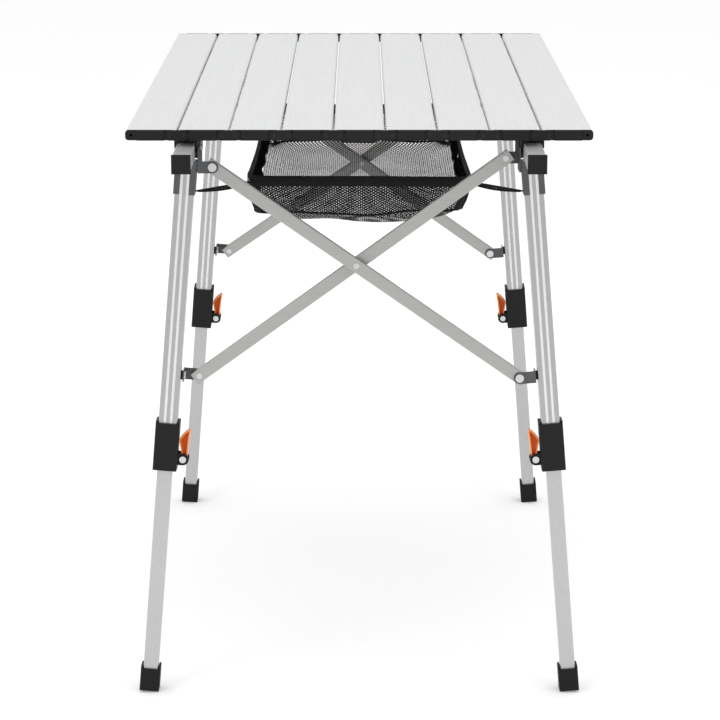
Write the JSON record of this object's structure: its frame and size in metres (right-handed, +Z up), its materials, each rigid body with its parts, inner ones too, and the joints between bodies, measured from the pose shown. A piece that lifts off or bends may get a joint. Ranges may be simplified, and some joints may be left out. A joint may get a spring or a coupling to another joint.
{
  "type": "camp kitchen table",
  "caption": "Folding camping table: roll-up slatted aluminium top on two rails, splayed telescopic legs braced by X frames, mesh basket below.",
  "frame": {"origin": "on the ground, below the middle of the whole table as it stands open", "axes": "+Z up, +Y along the slats from the end where the rails stick out to the other, +X across the slats"},
  "size_m": [0.538, 0.963, 0.685],
  "materials": {
    "slat_aluminium": "satin anodised",
    "rail_aluminium": "satin anodised",
    "leg_aluminium": "satin anodised",
    "brace_aluminium": "satin",
    "bracket_steel": "dark grey satin",
    "rivet_steel": "bright",
    "black_plastic": "matte",
    "orange_plastic": "semi-gloss",
    "black_rubber": "matte",
    "black_mesh": "open net",
    "black_webbing": "woven"
  },
  "bodies": {
    "rails_and_basket": {"rail_left": "rail_aluminium", "rail_right": "rail_aluminium", "rail_end_caps": "black_plastic", "rail_saddles": "black_plastic", "mesh_basket": "black_mesh", "basket_straps": "black_webbing"},
    "panel_1": {"slat_1": "slat_aluminium", "slat_1_end_caps": "black_plastic"},
    "panel_2": {"slat_2": "slat_aluminium", "slat_2_end_caps": "black_plastic"},
    "panel_3": {"slat_3": "slat_aluminium", "slat_3_end_caps": "black_plastic"},
    "panel_4": {"slat_4": "slat_aluminium", "slat_4_end_caps": "black_plastic"},
    "panel_5": {"slat_5": "slat_aluminium", "slat_5_end_caps": "black_plastic"},
    "panel_6": {"slat_6": "slat_aluminium", "slat_6_end_caps": "black_plastic"},
    "panel_7": {"slat_7": "slat_aluminium", "slat_7_end_caps": "black_plastic"},
    "panel_8": {"slat_8": "slat_aluminium", "slat_8_end_caps": "black_plastic"},
    "panel_9": {"slat_9": "slat_aluminium", "slat_9_end_caps": "black_plastic"},
    "top_link_1": {"hinge_links_1": "black_plastic"},
    "top_link_2": {"hinge_links_2": "black_plastic"},
    "top_link_3": {"hinge_links_3": "black_plastic"},
    "top_link_4": {"hinge_links_4": "black_plastic"},
    "top_link_5": {"hinge_links_5": "black_plastic"},
    "top_link_6": {"hinge_links_6": "black_plastic"},
    "top_link_7": {"hinge_links_7": "black_plastic"},
    "top_link_8": {"hinge_links_8": "black_plastic"},
    "near_leg_frame": {"near_upper_legs": "leg_aluminium", "near_clamps": "black_plastic", "near_lower_brackets": "bracket_steel", "near_upper_brackets": "bracket_steel", "near_outer_brace": "brace_aluminium", "near_inner_brace": "brace_aluminium", "near_spacers": "black_plastic", "near_rivets": "rivet_steel"},
    "near_left_leg_end": {"near_left_lower_leg": "leg_aluminium", "near_left_foot": "black_rubber"},
    "near_left_cam": {"near_left_lever": "orange_plastic"},
    "near_right_leg_end": {"near_right_lower_leg": "leg_aluminium", "near_right_foot": "black_rubber"},
    "near_right_cam": {"near_right_lever": "orange_plastic"},
    "far_leg_frame": {"far_upper_legs": "leg_aluminium", "far_clamps": "black_plastic", "far_lower_brackets": "bracket_steel", "far_upper_brackets": "bracket_steel", "far_outer_brace": "brace_aluminium", "far_inner_brace": "brace_aluminium", "far_spacers": "black_plastic", "far_rivets": "rivet_steel"},
    "far_left_leg_end": {"far_left_lower_leg": "leg_aluminium", "far_left_foot": "black_rubber"},
    "far_left_cam": {"far_left_lever": "orange_plastic"},
    "far_right_leg_end": {"far_right_lower_leg": "leg_aluminium", "far_right_foot": "black_rubber"},
    "far_right_cam": {"far_right_lever": "orange_plastic"}
  },
  "joints": [
    {"name": "near_leg_frame_fold", "type": "hinge", "parent": "rails_and_basket", "child": "near_leg_frame", "pos_m": [0, -0.3475, 0.656], "axis": [1, 0, 0], "range_deg": [0, 93], "deforming": ["mesh_basket", "basket_straps"]},
    {"name": "near_left_leg_length", "type": "slide", "parent": "near_leg_frame", "child": "near_left_leg_end", "axis": [0.0819, 0.0608, 0.9948], "range_m": [0, 0.24]},
    {"name": "near_left_cam_lever", "type": "hinge", "parent": "near_leg_frame", "child": "near_left_cam", "pos_m": [-0.2101, -0.39613, 0.28681], "axis": [0, 0.9981, -0.061], "range_deg": [0, 110]},
    {"name": "near_right_leg_length", "type": "slide", "parent": "near_leg_frame", "child": "near_right_leg_end", "axis": [-0.0819, 0.0608, 0.9948], "range_m": [0, 0.24]},
    {"name": "near_right_cam_lever", "type": "hinge", "parent": "near_leg_frame", "child": "near_right_cam", "pos_m": [0.2101, -0.39613, 0.28681], "axis": [0, -0.9981, 0.061], "range_deg": [0, 110]},
    {"name": "far_leg_frame_fold", "type": "hinge", "parent": "rails_and_basket", "child": "far_leg_frame", "pos_m": [0, 0.2905, 0.656], "axis": [-1, 0, 0], "range_deg": [0, 84], "deforming": ["mesh_basket", "basket_straps"]},
    {"name": "far_left_leg_length", "type": "slide", "parent": "far_leg_frame", "child": "far_left_leg_end", "axis": [-0.0819, -0.0608, 0.9948], "range_m": [0, 0.24]},
    {"name": "far_left_cam_lever", "type": "hinge", "parent": "far_leg_frame", "child": "far_left_cam", "pos_m": [0.2101, 0.33913, 0.28681], "axis": [0, -0.9981, -0.061], "range_deg": [0, 110]},
    {"name": "far_right_leg_length", "type": "slide", "parent": "far_leg_frame", "child": "far_right_leg_end", "axis": [0.0819, -0.0608, 0.9948], "range_m": [0, 0.24]},
    {"name": "far_right_cam_lever", "type": "hinge", "parent": "far_leg_frame", "child": "far_right_cam", "pos_m": [-0.2101, 0.33913, 0.28681], "axis": [0, 0.9981, 0.061], "range_deg": [0, 110]},
    {"name": "top_lift_off", "type": "slide", "parent": "rails_and_basket", "child": "panel_1", "axis": [0, 0, 1], "range_m": [0, 0.3]},
    {"name": "top_fold_1_left", "type": "hinge", "parent": "panel_1", "child": "top_link_1", "pos_m": [-0.21775, 0.0315, 0.679], "axis": [0, -1, 0], "range_deg": [0, 90]},
    {"name": "top_fold_1_right", "type": "hinge", "parent": "top_link_1", "child": "panel_2", "pos_m": [-0.20225, 0.0315, 0.679], "axis": [0, -1, 0], "range_deg": [0, 90]},
    {"name": "top_fold_2_left", "type": "hinge", "parent": "panel_2", "child": "top_link_2", "pos_m": [-0.15775, 0.0315, 0.679], "axis": [0, 1, 0], "range_deg": [0, 90]},
    {"name": "top_fold_2_right", "type": "hinge", "parent": "top_link_2", "child": "panel_3", "pos_m": [-0.14225, 0.0315, 0.679], "axis": [0, 1, 0], "range_deg": [0, 90]},
    {"name": "top_fold_3_left", "type": "hinge", "parent": "panel_3", "child": "top_link_3", "pos_m": [-0.09775, 0.0315, 0.679], "axis": [0, -1, 0], "range_deg": [0, 90]},
    {"name": "top_fold_3_right", "type": "hinge", "parent": "top_link_3", "child": "panel_4", "pos_m": [-0.08225, 0.0315, 0.679], "axis": [0, -1, 0], "range_deg": [0, 90]},
    {"name": "top_fold_4_left", "type": "hinge", "parent": "panel_4", "child": "top_link_4", "pos_m": [-0.03775, 0.0315, 0.679], "axis": [0, 1, 0], "range_deg": [0, 90]},
    {"name": "top_fold_4_right", "type": "hinge", "parent": "top_link_4", "child": "panel_5", "pos_m": [-0.02225, 0.0315, 0.679], "axis": [0, 1, 0], "range_deg": [0, 90]},
    {"name": "top_fold_5_left", "type": "hinge", "parent": "panel_5", "child": "top_link_5", "pos_m": [0.02225, 0.0315, 0.679], "axis": [0, -1, 0], "range_deg": [0, 90]},
    {"name": "top_fold_5_right", "type": "hinge", "parent": "top_link_5", "child": "panel_6", "pos_m": [0.03775, 0.0315, 0.679], "axis": [0, -1, 0], "range_deg": [0, 90]},
    {"name": "top_fold_6_left", "type": "hinge", "parent": "panel_6", "child": "top_link_6", "pos_m": [0.08225, 0.0315, 0.679], "axis": [0, 1, 0], "range_deg": [0, 90]},
    {"name": "top_fold_6_right", "type": "hinge", "parent": "top_link_6", "child": "panel_7", "pos_m": [0.09775, 0.0315, 0.679], "axis": [0, 1, 0], "range_deg": [0, 90]},
    {"name": "top_fold_7_left", "type": "hinge", "parent": "panel_7", "child": "top_link_7", "pos_m": [0.14225, 0.0315, 0.679], "axis": [0, -1, 0], "range_deg": [0, 90]},
    {"name": "top_fold_7_right", "type": "hinge", "parent": "top_link_7", "child": "panel_8", "pos_m": [0.15775, 0.0315, 0.679], "axis": [0, -1, 0], "range_deg": [0, 90]},
    {"name": "top_fold_8_left", "type": "hinge", "parent": "panel_8", "child": "top_link_8", "pos_m": [0.20225, 0.0315, 0.679], "axis": [0, 1, 0], "range_deg": [0, 90]},
    {"name": "top_fold_8_right", "type": "hinge", "parent": "top_link_8", "child": "panel_9", "pos_m": [0.21775, 0.0315, 0.679], "axis": [0, 1, 0], "range_deg": [0, 90]}
  ],
  "couplings": [
    {"joint": "top_lift_off", "follows": "top_fold_1_left", "m_per_rad": 0.19099},
    {"joint": "top_fold_1_right", "follows": "top_fold_1_left", "ratio": 1},
    {"joint": "top_fold_2_left", "follows": "top_fold_1_left", "ratio": 1},
    {"joint": "top_fold_2_right", "follows": "top_fold_1_left", "ratio": 1},
    {"joint": "top_fold_3_left", "follows": "top_fold_1_left", "ratio": 1},
    {"joint": "top_fold_3_right", "follows": "top_fold_1_left", "ratio": 1},
    {"joint": "top_fold_4_left", "follows": "top_fold_1_left", "ratio": 1},
    {"joint": "top_fold_4_right", "follows": "top_fold_1_left", "ratio": 1},
    {"joint": "top_fold_5_left", "follows": "top_fold_1_left", "ratio": 1},
    {"joint": "top_fold_5_right", "follows": "top_fold_1_left", "ratio": 1},
    {"joint": "top_fold_6_left", "follows": "top_fold_1_left", "ratio": 1},
    {"joint": "top_fold_6_right", "follows": "top_fold_1_left", "ratio": 1},
    {"joint": "top_fold_7_left", "follows": "top_fold_1_left", "ratio": 1},
    {"joint": "top_fold_7_right", "follows": "top_fold_1_left", "ratio": 1},
    {"joint": "top_fold_8_left", "follows": "top_fold_1_left", "ratio": 1},
    {"joint": "top_fold_8_right", "follows": "top_fold_1_left", "ratio": 1}
  ]
}
